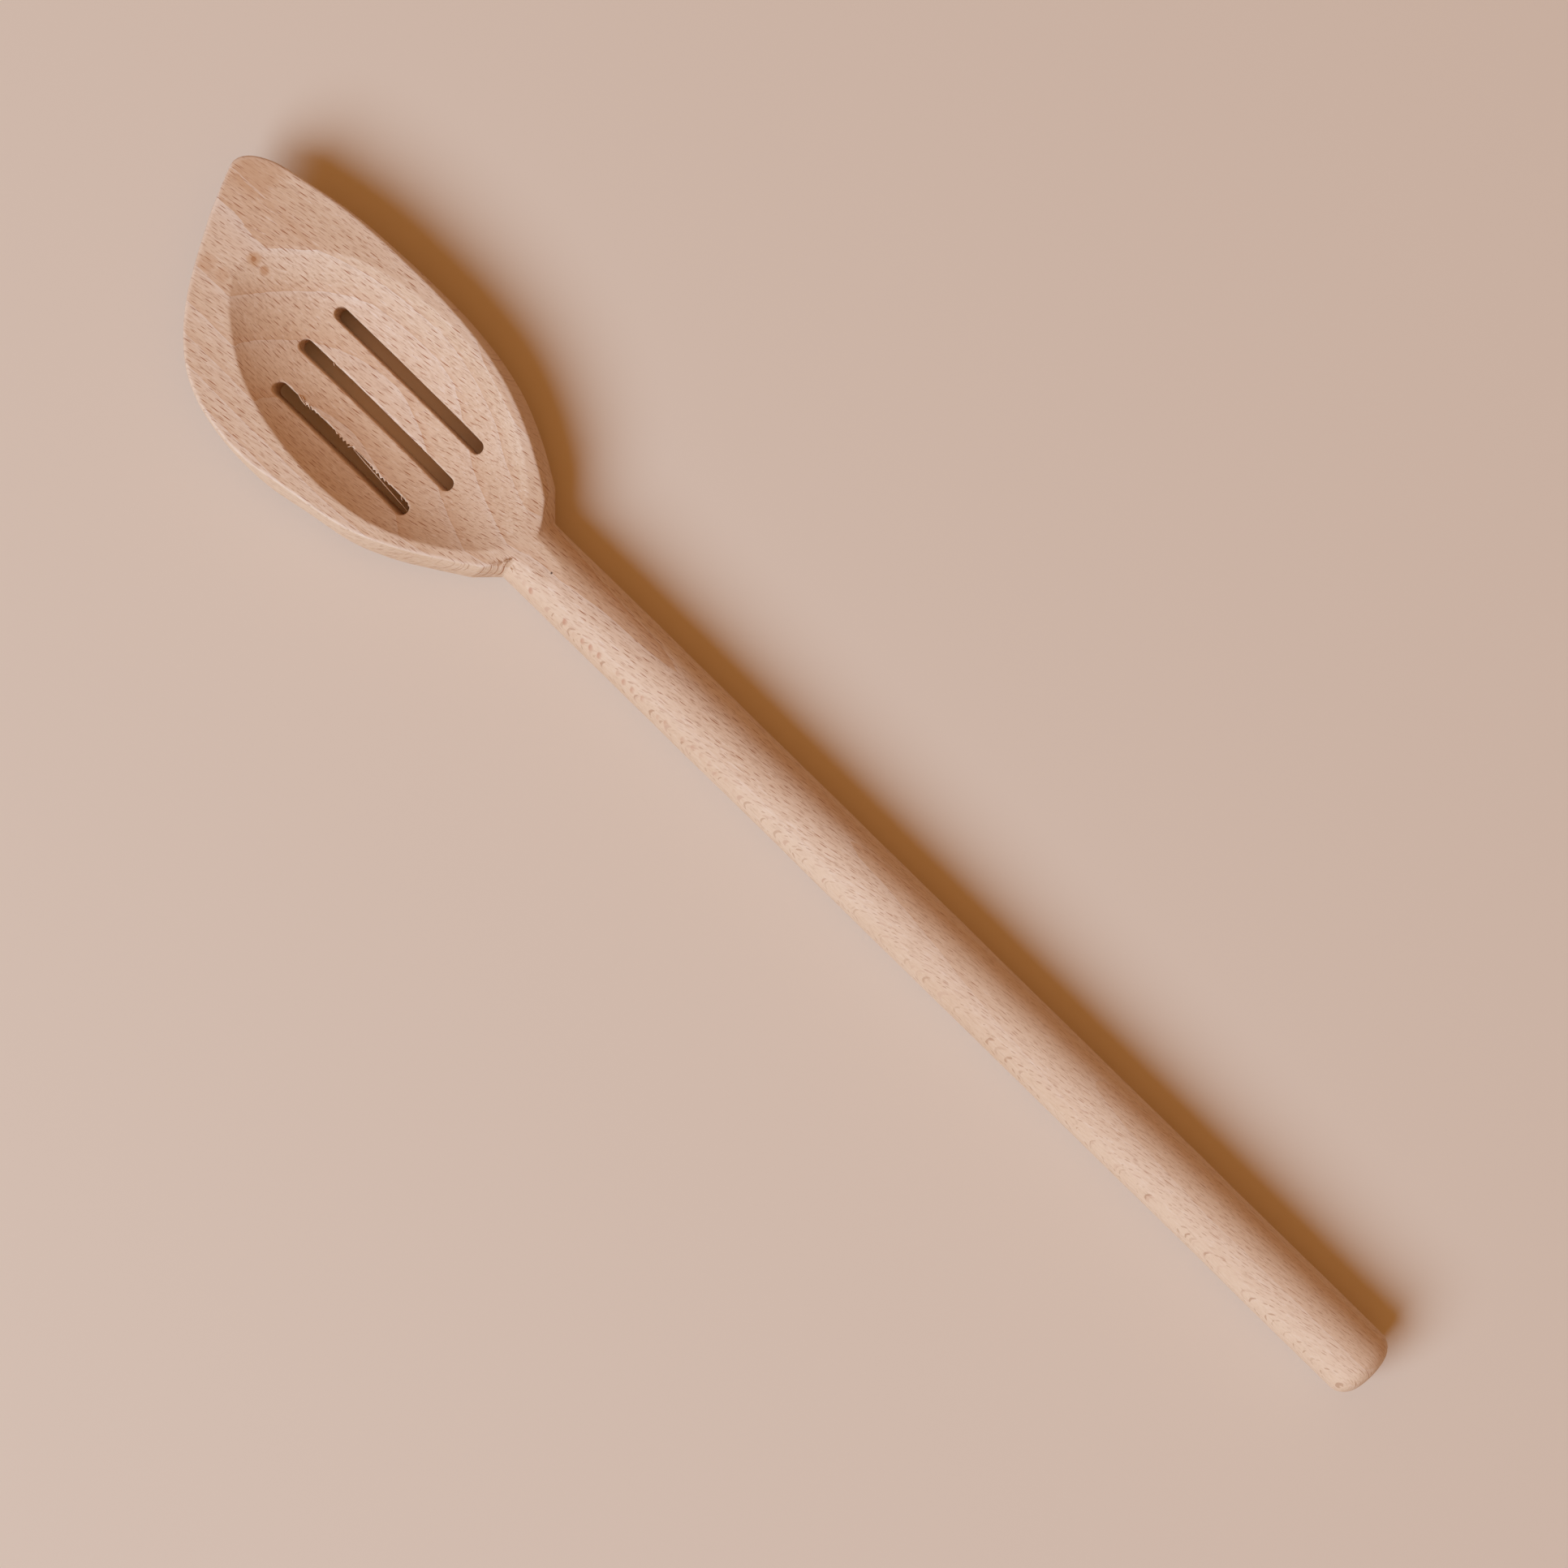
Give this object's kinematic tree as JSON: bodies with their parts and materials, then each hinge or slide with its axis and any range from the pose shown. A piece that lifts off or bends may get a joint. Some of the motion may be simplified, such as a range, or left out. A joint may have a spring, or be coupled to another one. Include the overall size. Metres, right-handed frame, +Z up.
{
  "type": "wooden spoon",
  "caption": "Slotted wooden cooking spoon with a cornered tip, a round turned handle and a wide shallow bowl with a flat rim.",
  "frame": {"origin": "on the surface the spoon lies on, under the middle of its length and width", "axes": "+X from the end of the handle to the tip, +Y to the full side of the bowl, +Z up out of the hollow, face up"},
  "size_m": [0.35, 0.0553, 0.0158],
  "materials": {
    "wood": "fine sanded, bare wood, matt"
  },
  "bodies": {
    "root": {"spoon": "wood"}
  },
  "joints": []
}
